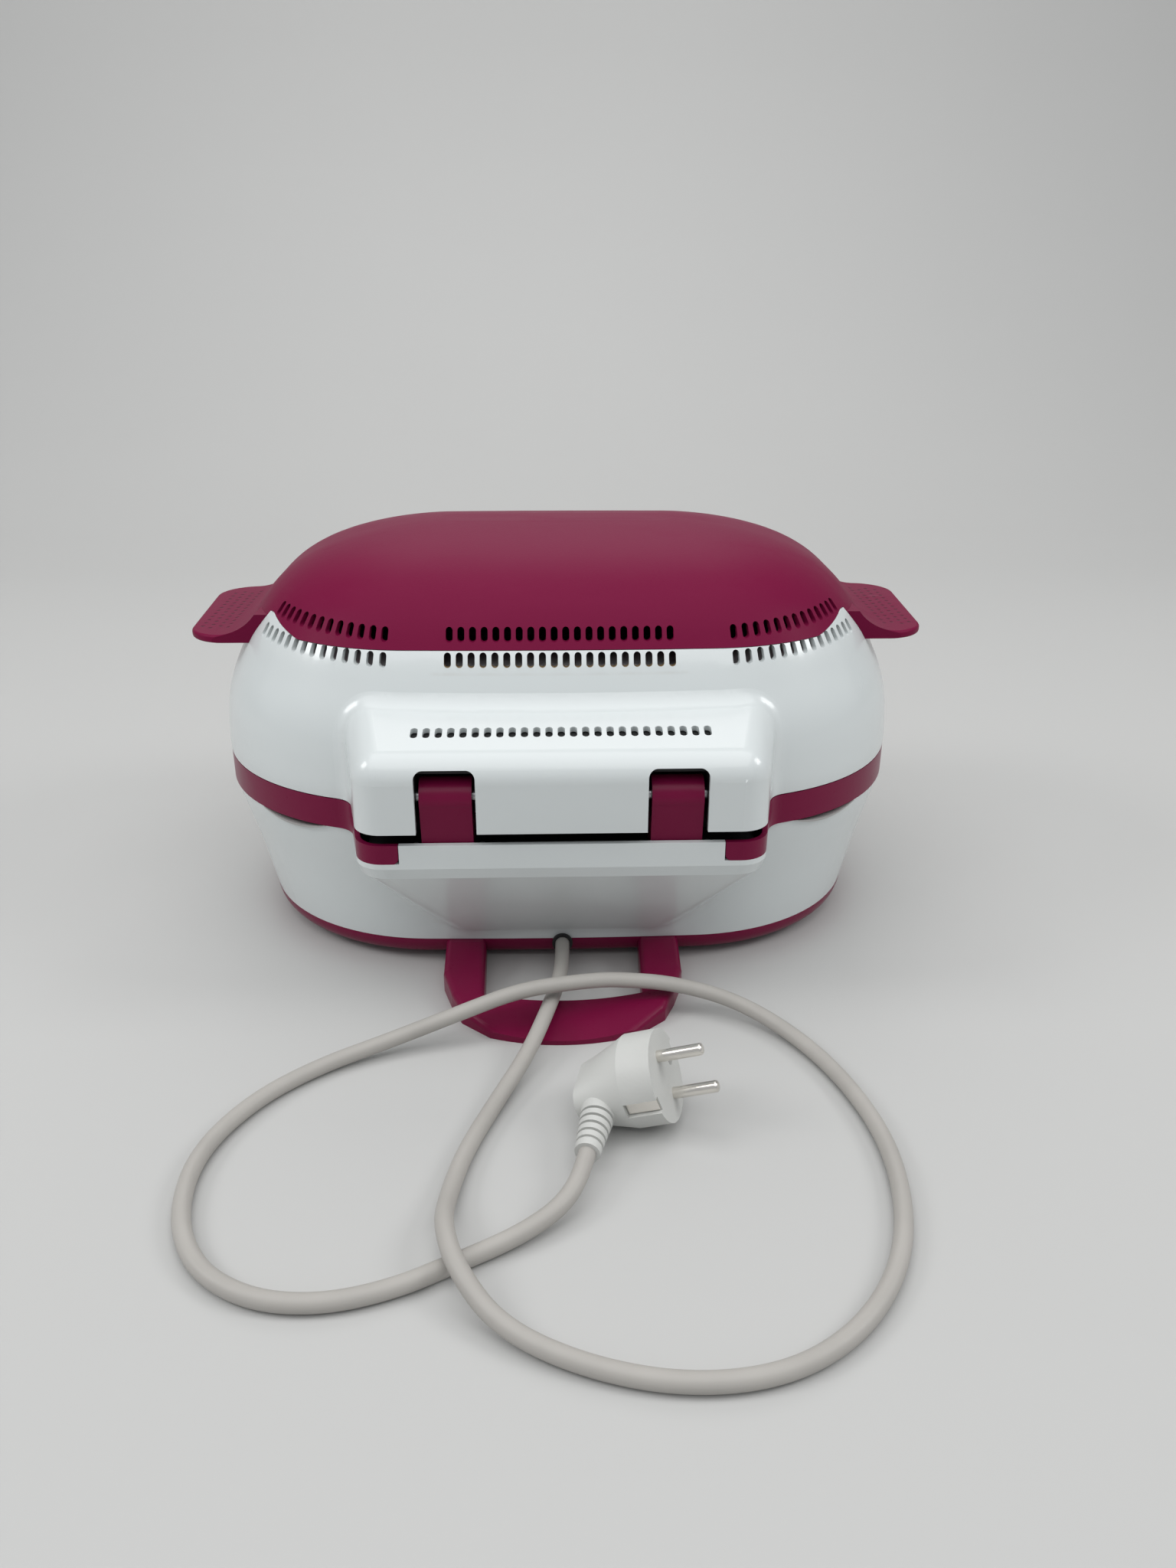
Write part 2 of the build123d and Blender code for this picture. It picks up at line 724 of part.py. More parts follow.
# Grey lips that line the crescent vents
for side, label in ((-1, "vent_lip_left"), (1, "vent_lip_right")):
    with BuildPart() as vent_lip:
        add(crescent(side, lip_height))
        add(crescent(side, 0), mode=Mode.SUBTRACT)
        add(wall_layer(-lip_proud, shell_wall), mode=Mode.INTERSECT)
    save(vent_lip, label)

# Magenta tray that closes the housing from below, with vents, screw wells and posts
vent_places = [(x, body_y + y) for x in (-60, -40, -20, 0, 20, 40, 60) for y in (-18, 18)]
foot_places = [(x, body_y + y) for x in (-foot_x, foot_x) for y in (-foot_y, foot_y)]
power_places = [
    (power_x + x, power_y + y)
    for x in (4 - power_width / 2, power_width / 2 - 4) for y in (4 - power_depth / 2, power_depth / 2 - 4)
]
tray_floor_z = tray_z + shell_wall
with BuildPart() as base_tray:
    add(body_form(tray_points))
    tray_inside = [(tray_floor_z, tray_profile[1][1] + shell_wall), (housing_z + 1, tray_profile[-1][1] + shell_wall)]
    add(body_form(tray_inside), mode=Mode.SUBTRACT)
    with Locations(*[(x, y, tray_z) for x, y in base_screw_places]):
        Cylinder(boss_radius, tray_height, align=upward)
    with Locations(*[(x, y, tray_floor_z) for x, y in power_places]):
        Cylinder(boss_radius, standoff_height, align=upward)
        Cylinder(screw_radius + pilot_gap, standoff_height, align=upward, mode=Mode.SUBTRACT)
    with Locations((0, rear_y - 40, tray_floor_z)):
        Box(46, 34, clamp_seat_z - tray_floor_z, align=upward)
    with Locations(*[(x, y, tray_z) for x, y in base_screw_places]):
        Cylinder(screw_radius + pilot_gap, tray_height, align=upward, mode=Mode.SUBTRACT)
        Cylinder(screw_head + flat_gap, screw_head_height + flat_gap, align=upward, mode=Mode.SUBTRACT)
    with Locations(*[(x, y, tray_z) for x, y in foot_places]):
        Cylinder(stem_radius + flat_gap, shell_wall, align=upward, mode=Mode.SUBTRACT)
    with BuildSketch(Plane.XY.offset(tray_z)):
        with Locations(*vent_places):
            SlotOverall(26, 3.5, rotation=90)
    extrude(amount=shell_wall, mode=Mode.SUBTRACT)
    with BuildSketch(Plane.XZ.offset(-body_y)):
        with Locations((0, cord_z)):
            Circle(cord_hole / 2)
    extrude(amount=-body_depth, mode=Mode.SUBTRACT)
save(base_tray, "base_tray")

# Rubber feet pushed into the tray floor
with BuildPart() as rubber_feet:
    with Locations(*[(x, y, 0) for x, y in foot_places]):
        Cylinder(foot_radius, foot_height, align=upward)
        Cylinder(stem_radius, foot_height + shell_wall + 1.5, align=upward)
    chamfer(rubber_feet.edges().group_by(Axis.Z)[0], length=1)
save(rubber_feet, "rubber_feet")


def pan_screws(places, seat_z, length):
    """Pan head screws driven upwards, their heads under seat_z"""
    with BuildPart() as group:
        with Locations(*[(x, y, seat_z - screw_head_height) for x, y in places]):
            Cylinder(screw_head, screw_head_height, align=upward)
            Cylinder(screw_radius, screw_head_height + length, align=upward)
    return group.part


with BuildPart() as base_screws:
    add(pan_screws(base_screw_places, tray_z + screw_head_height + flat_gap, tray_height + 6))
save(base_screws, "base_screws")

with BuildPart() as lid_screws:
    add(pan_screws(lid_screw_places, liner_flange_z, sheet_wall + 10))
save(lid_screws, "lid_screws")

# Rear loop: a flat bar that leaves the tray on both sides of the cord and meets behind it
loop_front_y = rear_y - 22
loop_side_y = hump_rear_y - 8
bar_rear_y = rear_y + loop_reach
with BuildPart() as rear_loop:
    with BuildSketch():
        with BuildLine():
            Polyline(
                (-loop_width / 2, loop_front_y), (-loop_width / 2 + 0.5, loop_side_y - 16),
                (-loop_width / 2 + 5.5, loop_side_y), (-loop_width / 2 + 10.8, loop_side_y + 12),
                (-loop_bar_width / 2, bar_rear_y - 6.3),
            )
            ThreePointArc(
                (-loop_bar_width / 2, bar_rear_y - 6.3), (0, bar_rear_y), (loop_bar_width / 2, bar_rear_y - 6.3)
            )
            Polyline(
                (loop_bar_width / 2, bar_rear_y - 6.3), (loop_width / 2 - 10.8, loop_side_y + 12),
                (loop_width / 2 - 5.5, loop_side_y), (loop_width / 2 - 0.5, loop_side_y - 16),
                (loop_width / 2, loop_front_y), (-loop_width / 2, loop_front_y),
            )
        make_face()
        with BuildLine():
            inner_rear_y = bar_rear_y - loop_bar
            Polyline(
                (-loop_inner_width / 2 + 1.5, inner_rear_y - 2), (-loop_inner_width / 2, loop_front_y - 1),
                (loop_inner_width / 2, loop_front_y - 1), (loop_inner_width / 2 - 1.5, inner_rear_y - 2),
            )
            ThreePointArc(
                (loop_inner_width / 2 - 1.5, inner_rear_y - 2), (0, inner_rear_y + 3),
                (-loop_inner_width / 2 + 1.5, inner_rear_y - 2),
            )
        make_face(mode=Mode.SUBTRACT)
    extrude(amount=housing_z)
    with BuildSketch(Plane.YZ.offset(-loop_width)):
        with BuildLine():
            Polyline(
                (loop_front_y, tray_z), (rear_y - 10, 1), (rear_y, 0), (bar_rear_y, 0), (bar_rear_y, 2.2),
                (hump_rear_y, 9), (rear_y + 3, 12), (rear_y - 12, housing_z - flat_gap),
                (loop_front_y, housing_z - flat_gap), close=True,
            )
        make_face()
    extrude(amount=2 * loop_width, mode=Mode.INTERSECT)
    add(body_form(profile_inside(tray_points, -thin_gap)), mode=Mode.SUBTRACT)
    top_edges = rear_loop.edges().filter_by(
        lambda edge: edge.center().Z > 2.3 and edge.center().Y > rear_y - 8
        and abs(edge.tangent_at(0.5).Z) < 0.5 and abs(edge.tangent_at(0.5).X) < 0.9
    )
    fillet(top_edges, radius=loop_round)
save(rear_loop, "rear_loop")


def post_holes(places, low_z, length, radius):
    """Upright round bars at places, for holes"""
    with BuildPart() as bars:
        with Locations(*[(x, y, low_z) for x, y in places]):
            Cylinder(radius, length, align=upward)
    return bars.part


def arm_side(clearance, low_z):
    """Side view of a hinge arm: round at the pin, its back leaning in towards the foot"""
    top = arm_radius + clearance
    with BuildSketch(Plane.YZ) as side:
        with Locations((hinge_y, hinge_z)):
            Circle(top)
        with BuildLine():
            Polyline(
                (hinge_y - top, hinge_z), (hinge_y - top, low_z), (hinge_y + top - arm_lean, low_z),
                (hinge_y + top - arm_lean, hump_low_z), (hinge_y + top, hinge_z), close=True,
            )
        make_face()
    return side.sketch_local


# Black plate that closes the hinge recess, with a screen wall and two holes for the arms
arm_front_y = hinge_y - arm_radius
flange_low_z = plate_z - arm_flange
arm_screw_reach = (arm_width + arm_flange_width) / 4
arm_screw_places = [
    (side * hinge_spread + offset, hinge_y - 1)
    for side in (-1, 1) for offset in (-arm_screw_reach, arm_screw_reach)
]
collar_rear_y = rear_y - band_wall - collar_set
plate_half_x = hump_width / 2 - shell_wall - flat_gap
plate_rear_y = saddle_rear_y - shell_wall - flat_gap
with BuildPart() as hinge_well:
    with BuildSketch(Plane.XY.offset(plate_z)) as plate:
        with Locations((0, (collar_rear_y + flat_gap + plate_rear_y) / 2)):
            Rectangle(2 * plate_half_x, plate_rear_y - collar_rear_y - flat_gap)
        fillet(plate.vertices().group_by(Axis.Y)[-1], radius=hump_corner - shell_wall)
    extrude(amount=plate_thickness)
    with Locations((0, shield_wall_y, plate_z + plate_thickness)):
        Box(2 * plate_half_x - 8, 2, shield_wall_height, align=upward)
    for side in (-1, 1):
        with BuildSketch(Plane.YZ.offset(side * hinge_spread)):
            add(arm_side(flat_gap, plate_z))
        extrude(amount=arm_width / 2 + flat_gap, both=True, mode=Mode.SUBTRACT)
    add(post_holes(arm_screw_places, plate_z, plate_thickness, screw_radius + pilot_gap), mode=Mode.SUBTRACT)
save(hinge_well, "hinge_well")

# Magenta hinge arms, each with a flange that is screwed up against the plate, and their pins
for side, label in ((-1, "left"), (1, "right")):
    with BuildPart() as hinge_arm:
        with BuildSketch(Plane.YZ.offset(side * hinge_spread)):
            add(arm_side(0, flange_low_z))
        extrude(amount=arm_width / 2, both=True)
        with Locations((side * hinge_spread, (arm_front_y + hinge_y + arm_radius - arm_lean) / 2, flange_low_z)):
            Box(arm_flange_width, 2 * arm_radius - arm_lean, arm_flange, align=upward)
        add(post_holes(arm_screw_places, flange_low_z, arm_flange, screw_radius + pilot_gap), mode=Mode.SUBTRACT)
        with BuildSketch(Plane.YZ.offset(side * hinge_spread)):
            with Locations((hinge_y, hinge_z)):
                Circle(pin_radius + pin_fit)
        extrude(amount=arm_width, both=True, mode=Mode.SUBTRACT)
    save(hinge_arm, f"hinge_arm_{label}")
    with BuildPart() as hinge_pin:
        with BuildSketch(Plane.YZ.offset(side * hinge_spread)):
            with Locations((hinge_y, hinge_z)):
                Circle(pin_radius)
        extrude(amount=pin_length / 2, both=True)
        chamfer(hinge_pin.edges(), length=0.4)
    save(hinge_pin, f"hinge_pin_{label}")

with BuildPart() as hinge_screws:
    add(pan_screws(arm_screw_places, flange_low_z, arm_flange + plate_thickness))
save(hinge_screws, "hinge_screws")

# Black hinge bracket that fills the hump, with a pocket round each arm and a bore in each cheek
bracket_low_z = lid_z + bracket_lift
bracket_front_y = rear_y - liner_flange_set + flat_gap + 1
pocket_radius = arm_radius + pocket_gap
with BuildPart() as hinge_bracket:
    add(hump_form(shell_wall + bracket_gap, bracket_low_z))
    with BuildSketch(Plane.YZ.offset(-hump_width)):
        with Locations((bracket_front_y, lid_z)):
            Rectangle(2 * hump_root + 20, 4 * hump_height, align=(Align.MAX, Align.CENTER))
    extrude(amount=2 * hump_width, mode=Mode.SUBTRACT)
    for side in (-1, 1):
        with BuildSketch(Plane.YZ.offset(side * hinge_spread)):
            with Locations((hinge_y, hinge_z)):
                Circle(pocket_radius)
            with Locations((hinge_y - pocket_radius, hinge_z)):
                Rectangle(2 * hump_reach, hump_height, align=(Align.MIN, Align.MAX))
            with Locations((hinge_y, hinge_z)):
                Rectangle(2 * hump_reach, lid_z + window_height - hinge_z, align=(Align.MIN, Align.MIN))
        extrude(amount=window_width / 2, both=True, mode=Mode.SUBTRACT)
        with BuildSketch(Plane.YZ.offset(side * hinge_spread)):
            with Locations((hinge_y, hinge_z)):
                Circle(pin_radius + pin_clearance)
        extrude(amount=pin_length / 2 + flat_gap, both=True, mode=Mode.SUBTRACT)
    core_low_y = bracket_front_y + bracket_wall
    core_depth = hump_rear_y - shell_wall - bracket_gap - hump_round - core_low_y
    middle_half_x = hinge_spread - pin_length / 2 - bracket_wall
    side_low_x = hinge_spread + pin_length / 2 + bracket_wall
    side_high_x = hump_width / 2 - shell_wall - bracket_gap - bracket_wall - 2
    with Locations((0, core_low_y, bracket_low_z)):
        Box(
            2 * middle_half_x, core_depth, hump_height - 14,
            align=(Align.CENTER, Align.MIN, Align.MIN), mode=Mode.SUBTRACT,
        )
    for side in (-1, 1):
        with Locations((side * (side_low_x + side_high_x) / 2, core_low_y, bracket_low_z)):
            Box(
                side_high_x - side_low_x, core_depth, hump_height - 20,
                align=(Align.CENTER, Align.MIN, Align.MIN), mode=Mode.SUBTRACT,
            )
save(hinge_bracket, "hinge_bracket")

# Metal baking well: a flange on the housing's collar, a step for the tin and a tapered tub
well_flange_z = collar_top_z
well_step_z = lid_z - well_step_drop
with BuildPart() as baking_well:
    extrude(body_plan(well_flange_z, well_flange_set), amount=sheet_wall)
    step_low_z = well_step_z - sheet_wall
    extrude(body_plan(step_low_z, well_mouth), amount=well_flange_z - step_low_z)
    low_set = well_mouth + well_step + well_taper
    add(body_form([(well_floor_z, low_set), (well_step_z, well_mouth + well_step)]))
    mouth_height = well_flange_z - well_step_z + sheet_wall
    extrude(body_plan(well_step_z, well_mouth + sheet_wall), amount=mouth_height, mode=Mode.SUBTRACT)
    hollow = [
        (well_floor_z + sheet_wall, low_set + sheet_wall),
        (well_step_z + sheet_wall, well_mouth + well_step + sheet_wall),
    ]
    add(body_form(hollow), mode=Mode.SUBTRACT)
    element_z = well_floor_z + element_height
    with BuildSketch(Plane.XZ.offset(-body_y)):
        with Locations((-element_ends, element_z), (element_ends, element_z)):
            Circle(element_radius + element_gap + bush_wall + thin_gap)
    extrude(amount=-body_depth, mode=Mode.SUBTRACT)
save(baking_well, "baking_well")

# Cake tin that hangs by its rim on the step of the well
tin_rim_z = well_step_z
with BuildPart() as cake_tin:
    extrude(body_plan(tin_rim_z, tin_rim_set), amount=sheet_wall)
    add(body_form([(tin_rim_z - tin_depth, tin_wall_set + tin_taper), (tin_rim_z, tin_wall_set)]))
    tin_hollow = [
        (tin_rim_z - tin_depth + sheet_wall, tin_wall_set + tin_taper + sheet_wall),
        (tin_rim_z + sheet_wall, tin_wall_set + sheet_wall),
    ]
    add(body_form(tin_hollow), mode=Mode.SUBTRACT)
save(cake_tin, "cake_tin")

# Lower heater: a bent rod on the well's floor, its ends led out through two ceramic bushes
well_rear_y = rear_y - low_set
loop_far_y = body_y - element_half_y
loop_near_y = body_y + element_half_y
lower_rod = [
    (element_ends, loop_near_y + element_tail), (element_ends, loop_near_y),
    (element_half_x, loop_near_y), (element_half_x, loop_far_y),
    (-element_half_x, loop_far_y), (-element_half_x, loop_near_y),
    (-element_ends, loop_near_y), (-element_ends, loop_near_y + element_tail),
]
with BuildPart() as lower_heating_element:
    add(tube([(x, y, element_z) for x, y in lower_rod], element_radius, element_bend)[0])
save(lower_heating_element, "lower_heating_element")

with BuildPart() as lower_element_bushes:
    for side in (-1, 1):
        with BuildSketch(Plane.XZ.offset(-well_rear_y + 4)):
            with Locations((side * element_ends, element_z)):
                Circle(element_radius + element_gap + bush_wall)
        extrude(amount=-bush_length)
        with BuildSketch(Plane.XZ.offset(-well_rear_y - sheet_wall - 1)):
            with Locations((side * element_ends, element_z)):
                Circle(element_radius + 3)
        extrude(amount=-2)
        with BuildSketch(Plane.XZ.offset(-well_rear_y + 5)):
            with Locations((side * element_ends, element_z)):
                Circle(element_radius + element_gap)
        extrude(amount=-bush_length - 2, mode=Mode.SUBTRACT)
save(lower_element_bushes, "lower_element_bushes")

lower_clip_places = [(x, body_y + y) for x in (-element_half_x, element_half_x) for y in (-30, 30)]
with BuildPart() as lower_element_clips:
    with Locations(*[(x, y, well_floor_z + sheet_wall) for x, y in lower_clip_places]):
        Box(clip_width, clip_depth, element_z - well_floor_z + element_radius, align=upward)
    fillet(lower_element_clips.edges().filter_by(Axis.Y).group_by(Axis.Z)[-1], radius=3)
    with BuildSketch(Plane.XZ.offset(-body_y)):
        with Locations((-element_half_x, element_z), (element_half_x, element_z)):
            Circle(element_radius + element_gap)
    extrude(amount=body_depth / 2, both=True, mode=Mode.SUBTRACT)
save(lower_element_clips, "lower_element_clips")

# Heat shield under the well, on four spacers, with the thermostat and the fuse between them
shield_places = [(x, body_y + y) for x in (-90, 90) for y in (-50, 50)]
shield_z = well_floor_z - shield_drop - sheet_wall
with BuildPart() as heat_shield:
    with BuildSketch(Plane.XY.offset(shield_z)) as shield:
        with Locations((0, body_y)):
            Rectangle(2 * shield_half_x, 2 * shield_half_y)
        fillet(shield.vertices(), radius=16)
    extrude(amount=sheet_wall)
    with Locations(*[(x, y, shield_z) for x, y in shield_places]):
        Cylinder(boss_radius, well_floor_z - shield_z, align=upward)
    with Locations((0, body_y, shield_z)):
        Cylinder(12, sheet_wall, align=upward, mode=Mode.SUBTRACT)
save(heat_shield, "heat_shield")

with BuildPart() as thermostat_sensor:
    with Locations((0, body_y, well_floor_z - 5)):
        Cylinder(8, 5, align=upward)
    with Locations((0, body_y, well_floor_z - 14)):
        Cylinder(5.5, 9, align=upward)
save(thermostat_sensor, "thermostat_sensor")

with BuildPart() as thermal_fuse:
    with Locations((40, body_y, well_floor_z - 2)):
        Cylinder(2, 14, rotation=(0, 90, 0))
        Cylinder(0.6, 30, rotation=(0, 90, 0))
save(thermal_fuse, "thermal_fuse")

# Metal liner of the lid: a flange screwed to the lid's bosses and a dome over the cake
liner_points = profile_points(liner_profile, liner_flange_z, liner_height)
with BuildPart() as lid_liner:
    extrude(body_plan(liner_flange_z, liner_flange_set), amount=sheet_wall)
    add(body_form(liner_points))
    liner_inside = profile_inside(liner_points, sheet_wall)
    liner_inside = (
        [(liner_flange_z - 1, liner_inside[0][1])] + liner_inside[1:-1]
        + [(liner_flange_z + liner_height - sheet_wall, liner_points[-1][1] + 1)]
    )
    add(body_form(liner_inside), mode=Mode.SUBTRACT)
    add(post_holes(lid_screw_places, liner_flange_z, sheet_wall, screw_radius + pilot_gap), mode=Mode.SUBTRACT)
    end_places = [(side * element_ends, body_y + upper_end_y) for side in (-1, 1)]
    bush_radius = element_radius + element_gap + bush_wall
    add(post_holes(end_places, lid_z + 40, liner_height, bush_radius + thin_gap), mode=Mode.SUBTRACT)
save(lid_liner, "lid_liner")

# Upper heater: a bent rod under the liner's ceiling, its ends led up through two bushes
ceiling_z = liner_flange_z + liner_height
upper_z = ceiling_z - upper_element_drop
end_y = body_y + upper_end_y
far_y = body_y - upper_half_y
near_y = body_y + upper_half_y
upper_rod = [
    (element_ends, end_y, upper_z + upper_tail), (element_ends, end_y, upper_z),
    (element_ends, near_y, upper_z), (upper_half_x, near_y, upper_z), (upper_half_x, far_y, upper_z),
    (-upper_half_x, far_y, upper_z), (-upper_half_x, near_y, upper_z), (-element_ends, near_y, upper_z),
    (-element_ends, end_y, upper_z), (-element_ends, end_y, upper_z + upper_tail),
]
with BuildPart() as upper_heating_element:
    add(tube(upper_rod, element_radius, upper_bend)[0])
save(upper_heating_element, "upper_heating_element")

with BuildPart() as upper_element_bushes:
    with Locations(*[(x, y, ceiling_z - sheet_wall - 2) for x, y in end_places]):
        Cylinder(bush_radius, bush_length, align=upward)
    with Locations(*[(x, y, ceiling_z) for x, y in end_places]):
        Cylinder(element_radius + 3, 2, align=upward)
    with Locations(*[(x, y, ceiling_z - 20) for x, y in end_places]):
        Cylinder(element_radius + element_gap, 40, align=upward, mode=Mode.SUBTRACT)
save(upper_element_bushes, "upper_element_bushes")

upper_clip_places = [(x, body_y + y) for x in (-upper_half_x, upper_half_x) for y in (-25, 25)]
with BuildPart() as upper_element_clips:
    with Locations(*[(x, y, upper_z - element_radius - 1) for x, y in upper_clip_places]):
        Box(clip_width, clip_depth, ceiling_z - sheet_wall - upper_z + element_radius + 1, align=upward)
    with BuildSketch(Plane.XZ.offset(-body_y)):
        with Locations((-upper_half_x, upper_z), (upper_half_x, upper_z)):
            Circle(element_radius + element_gap)
    extrude(amount=body_depth / 2, both=True, mode=Mode.SUBTRACT)
save(upper_element_clips, "upper_element_clips")

# Control panel at the front: a curved plate behind the housing's wall, with a lens and five buttons
button_z = panel_z - button_drop
lens_z = panel_z + lens_rise
board_y = front_wall_y(0, button_z) + board_set
button_places = [button_spread * number for number in (-2, -1, 0, 1, 2)]
post_places = [(x, panel_z + z) for x in (-post_x, post_x) for z in (-post_z, post_z)]


def seat_y(x):
    """Flat seat of a button's collar behind the panel"""
    return front_wall_y(x, button_z) + panel_depth - 1.6


with BuildPart() as panel_rim:
    add(wall_layer(shell_wall + flat_gap, panel_depth))
    rim_size = (panel_width + 2 * panel_lip, panel_height + 2 * panel_lip)
    add(front_prism(*rim_size, panel_corner + panel_lip), mode=Mode.INTERSECT)

with BuildPart() as lens_seat:
    add(wall_layer(-2, lens_depth + thin_gap))
    add(front_prism(lens_width + 2 * thin_gap, lens_height + 2 * thin_gap, 3, z=lens_rise), mode=Mode.INTERSECT)

with BuildPart() as panel_posts:
    with BuildSketch(Plane.XZ.offset(-board_y)):
        with Locations(*post_places):
            Circle(post_radius)
    extrude(amount=2 * board_set)
    add(body_form(profile_inside(bowl_points, sheet_wall)), mode=Mode.INTERSECT)

with BuildPart() as control_panel:
    add(wall_layer(0, panel_depth))
    add(front_prism(panel_width, panel_height, panel_corner), mode=Mode.INTERSECT)
    add(panel_rim.part)
    add(panel_posts.part)
    add(front_prism(lens_width - 2 * lens_rim, lens_height - 2 * lens_rim, 1.5, z=lens_rise), mode=Mode.SUBTRACT)
    add(lens_seat.part, mode=Mode.SUBTRACT)
    for x in button_places:
        with BuildSketch(Plane.XZ.offset(-body_y)):
            with Locations((x, button_z)):
                Circle(button_radius + button_gap)
        extrude(amount=body_depth, mode=Mode.SUBTRACT)
        with BuildSketch(Plane.XZ.offset(-seat_y(x))):
            with Locations((x, button_z)):
                Circle(collar_radius + button_gap)
        extrude(amount=-board_set, mode=Mode.SUBTRACT)
    with BuildSketch(Plane.XZ.offset(-board_y)):
        with Locations(*post_places):
            Circle(screw_radius + pilot_gap)
    extrude(amount=5, mode=Mode.SUBTRACT)
save(control_panel, "control_panel")

with BuildPart() as display_lens:
    add(wall_layer(0, lens_depth))
    add(front_prism(lens_width, lens_height, 3, z=lens_rise), mode=Mode.INTERSECT)
save(display_lens, "display_lens")

for number, x in enumerate(button_places, start=1):
    button_y = front_wall_y(x, button_z) - button_proud
    collar_y = seat_y(x) + thin_gap
    stub_y = board_y - switch_height - button_travel - thin_gap
    with BuildPart() as button:
        with BuildSketch(Plane.XZ.offset(-button_y)):
            with Locations((x, button_z)):
                Circle(button_radius)
        extrude(amount=-(collar_y - button_y))
        fillet(button.edges().group_by(Axis.Y)[0], radius=0.8)
        with BuildSketch(Plane.XZ.offset(-collar_y)):
            with Locations((x, button_z)):
                Circle(collar_radius)
        extrude(amount=-collar_thickness)
        with BuildSketch(Plane.XZ.offset(-collar_y)):
            with Locations((x, button_z)):
                Circle(1.6)
        extrude(amount=-(stub_y - collar_y))
    save(button, f"button_{number}")

with BuildPart() as control_board:
    with BuildSketch(Plane.XZ.offset(-board_y)):
        with Locations((0, panel_z)):
            Rectangle(board_width, board_height)
    extrude(amount=-board_thickness)
    with BuildSketch(Plane.XZ.offset(-board_y)):
        with Locations(*post_places):
            Circle(screw_radius + pilot_gap)
    extrude(amount=-board_thickness, mode=Mode.SUBTRACT)
save(control_board, "control_board")

with BuildPart() as tact_switches:
    with Locations(*[(x, board_y - switch_height / 2, button_z) for x in button_places]):
        Box(switch_side, switch_height, switch_side)
save(tact_switches, "tact_switches")

module_y = front_wall_y(0, lens_z - lens_height / 2) + lens_depth + 0.6
with BuildPart() as display_module:
    with Locations((0, (module_y + board_y) / 2, lens_z)):
        Box(lens_width - 2 * lens_rim - 1, board_y - module_y, lens_height - 2 * lens_rim - 1)
save(display_module, "display_module")

with BuildPart() as board_screws:
    with BuildSketch(Plane.XZ.offset(-board_y - board_thickness)):
        with Locations(*post_places):
            Circle(screw_head)
    extrude(amount=-screw_head_height)
    with BuildSketch(Plane.XZ.offset(-board_y - board_thickness)):
        with Locations(*post_places):
            Circle(screw_radius)
    extrude(amount=board_thickness + 4)
save(board_screws, "board_screws")

# Power board on its standoffs, with a relay and a capacitor
power_z = tray_floor_z + standoff_height
with BuildPart() as power_board:
    with Locations((power_x, power_y, power_z)):
        Box(power_width, power_depth, board_thickness, align=upward)
    with Locations((power_x - 12, power_y, power_z + board_thickness)):
        Box(20, 16, 14, align=upward)
    with Locations((power_x + 14, power_y + 4, power_z + board_thickness)):
        Cylinder(5, 12, align=upward)
    add(post_holes(power_places, power_z, board_thickness, screw_radius + pilot_gap), mode=Mode.SUBTRACT)
save(power_board, "power_board")

with BuildPart() as power_screws:
    with Locations(*[(x, y, power_z + board_thickness) for x, y in power_places]):
        Cylinder(screw_head, screw_head_height, align=upward)
    with Locations(*[(x, y, power_z - 5) for x, y in power_places]):
        Cylinder(screw_radius, board_thickness + 5, align=upward)
save(power_screws, "power_screws")

# Cord entry: a terminal block and a clamp on the tray's seat, and a grommet in the rear wall
cord_start_y = rear_y - cord_set
tray_rear_y = rear_y - tray_profile[-1][1]
with BuildPart() as cord_clamp:
    with Locations((0, cord_start_y - clamp_length / 2, clamp_seat_z)):
        Box(26, clamp_length, cord_diameter + 5, align=upward)
    fillet(cord_clamp.edges().filter_by(Axis.Y).group_by(Axis.Z)[-1], radius=3)
    chamfer(cord_clamp.edges().filter_by(Axis.X).group_by(Axis.Z)[0].sort_by(Axis.Y)[-1], length=clamp_toe)
save(cord_clamp, "cord_clamp")

with BuildPart() as terminal_block:
    with Locations((0, cord_start_y - clamp_length - 9, clamp_seat_z)):
        Box(30, 14, 14, align=upward)
    with Locations(*[(x, cord_start_y - clamp_length - 9, clamp_seat_z + 14) for x in (-10, 0, 10)]):
        Cylinder(2.2, 6, align=(Align.CENTER, Align.CENTER, Align.MAX), mode=Mode.SUBTRACT)
save(terminal_block, "terminal_block")

with BuildPart() as cord_grommet:
    with BuildSketch(Plane.XZ.offset(-tray_rear_y + shell_wall + 1.5)):
        with Locations((0, cord_z)):
            Circle(cord_hole / 2 - thin_gap)
    extrude(amount=-shell_wall - 3)
    with BuildSketch(Plane.XZ.offset(-tray_rear_y - 0.8)):
        with Locations((0, cord_z)):
            Circle(grommet_flange)
    extrude(amount=-1.4)
    with BuildSketch(Plane.XZ.offset(-rear_y)):
        with Locations((0, cord_z)):
            Circle(cord_diameter / 2 + thin_gap)
    extrude(amount=40, mode=Mode.SUBTRACT)
save(cord_grommet, "cord_grommet")

# Mains cord, lying in one loose loop behind the appliance, from the clamp to the plug
leads = Vector(*plug_leads).normalized()
points_way = Vector(*plug_points).normalized()
across = points_way.cross(leads).normalized()
leads = across.cross(points_way)
plug_face = Vector(*plug_centre)
relief_origin = plug_face - points_way * relief_set
cord_end = relief_origin + leads * relief_length
route = [Vector(0, cord_start_y, cord_z)] + [Vector(*point) for point in cord_route]
route += [cord_end + leads * plug_straight, cord_end]
runs = [(after - before).length for before, after in zip(route, route[1:])]
bends = []
for number in range(1, len(route) - 1):
    turn = (route[number] - route[number - 1]).get_angle(route[number + 1] - route[number])
    bends.append(0.45 * min(runs[number - 1], runs[number]) / math.tan(math.radians(turn) / 2))
with BuildPart() as power_cord:
    cord_solid, cord_length = tube(route, cord_diameter / 2, bends)
    add(cord_solid)
section = math.pi * cord_diameter ** 2 / 4
